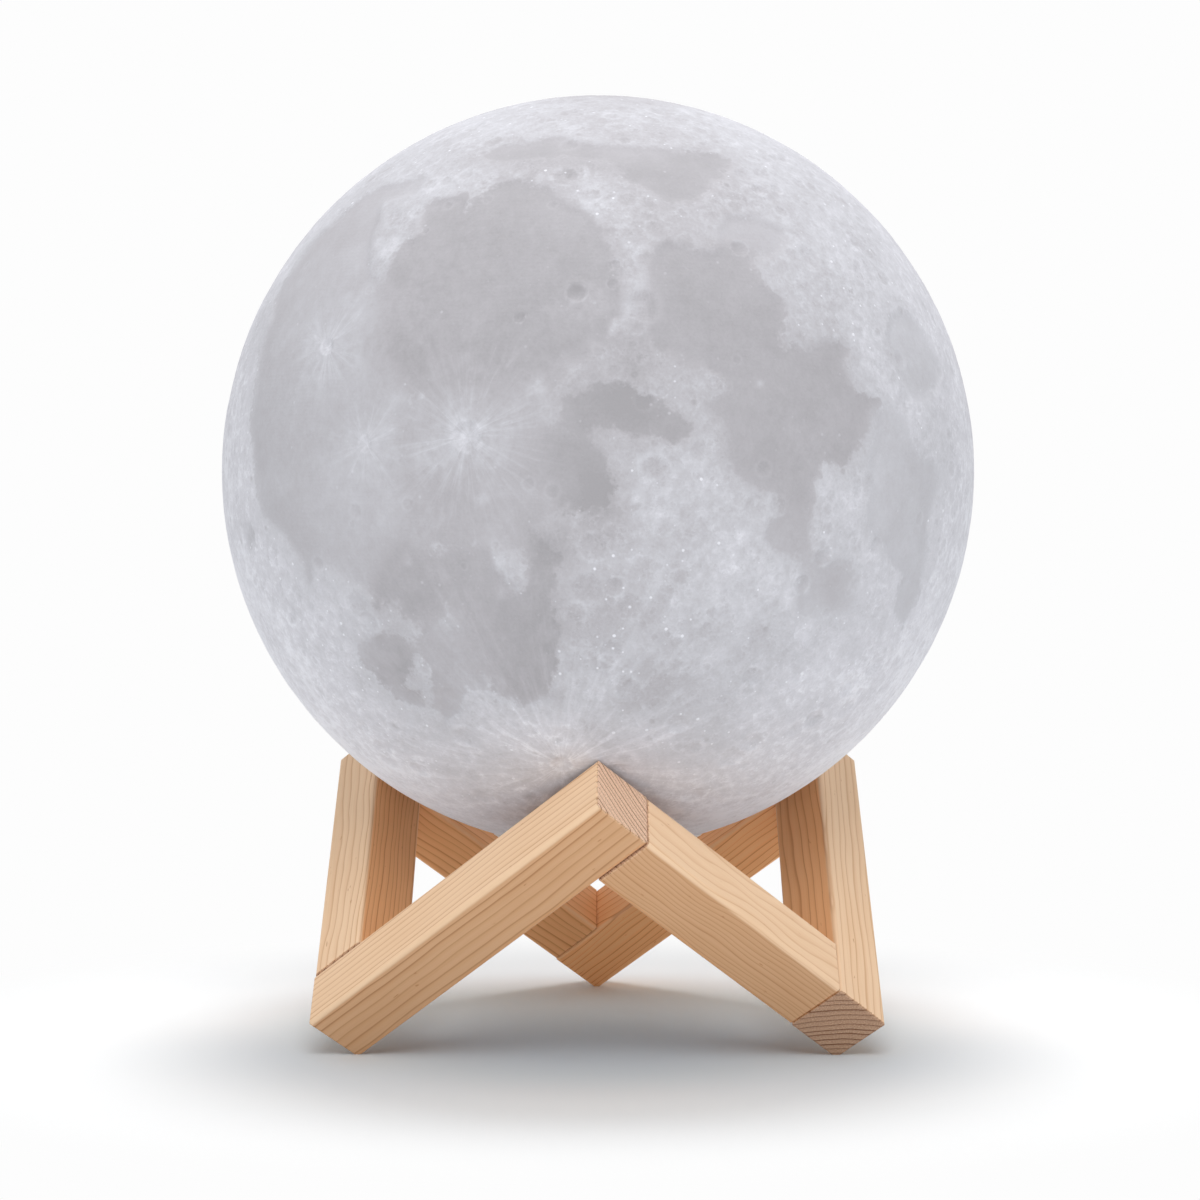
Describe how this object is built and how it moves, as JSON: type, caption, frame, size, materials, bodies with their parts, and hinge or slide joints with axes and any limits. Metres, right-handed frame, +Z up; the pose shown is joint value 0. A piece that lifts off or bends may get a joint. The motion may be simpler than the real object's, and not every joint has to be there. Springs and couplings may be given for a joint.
{
  "type": "moon lamp",
  "caption": "Hollow moon-relief globe light with its battery light unit, resting loose on a zigzag ring of square pine bars.",
  "frame": {"origin": "on the floor, at the upright axis of the stand and the globe", "axes": "+Z up, -Y towards the front of the lamp, where one of the stand's peaks stands, +X to the right"},
  "size_m": [0.15, 0.15, 0.1872],
  "materials": {
    "pine": "planed, unvarnished",
    "beech": "turned",
    "printed_shade": "matt, finely layered print",
    "white_moulding": "fine spark texture",
    "button_white": "satin",
    "brushed_metal": "circular brushing",
    "plated_steel": "zinc plated",
    "switch_metal": "moulded",
    "black_moulding": "moulded",
    "board_green": "solder resist",
    "board_white": "white resist on aluminium",
    "chip_yellow": "gel-filled",
    "clear_plastic": "polished",
    "cell_wrap": "shrink wrap",
    "lead_red": "smooth insulation",
    "lead_white": "smooth insulation"
  },
  "bodies": {
    "stand": {"bar_front_left": "pine", "bar_front_right": "pine", "bar_right": "pine", "bar_back_right": "pine", "bar_back_left": "pine", "bar_left": "pine", "dowels": "beech"},
    "globe": {"moon_shade": "printed_shade", "base_cup": "white_moulding", "trim_ring": "brushed_metal", "switch_body": "switch_metal", "control_board": "board_green", "board_parts": "black_moulding", "lead_sockets": "white_moulding", "inlet_shell": "plated_steel", "inlet_tongue": "black_moulding", "light_pipe": "clear_plastic", "charge_light": "chip_yellow", "battery_cell": "cell_wrap", "battery_leads": "lead_red", "light_tower": "white_moulding", "tower_screws": "plated_steel", "light_board": "board_white", "light_chips": "chip_yellow", "light_leads": "lead_white", "light_board_screws": "plated_steel"},
    "button": {"push_button": "button_white", "switch_plunger": "black_moulding"}
  },
  "joints": [
    {"name": "globe_lift", "type": "slide", "parent": "stand", "child": "globe", "axis": [0, 0, 1], "range_m": [0, 0.05]},
    {"name": "button_press", "type": "slide", "parent": "globe", "child": "button", "axis": [0, 0, 1], "range_m": [0, 0.0008], "stiffness_N_per_m": 2500}
  ]
}
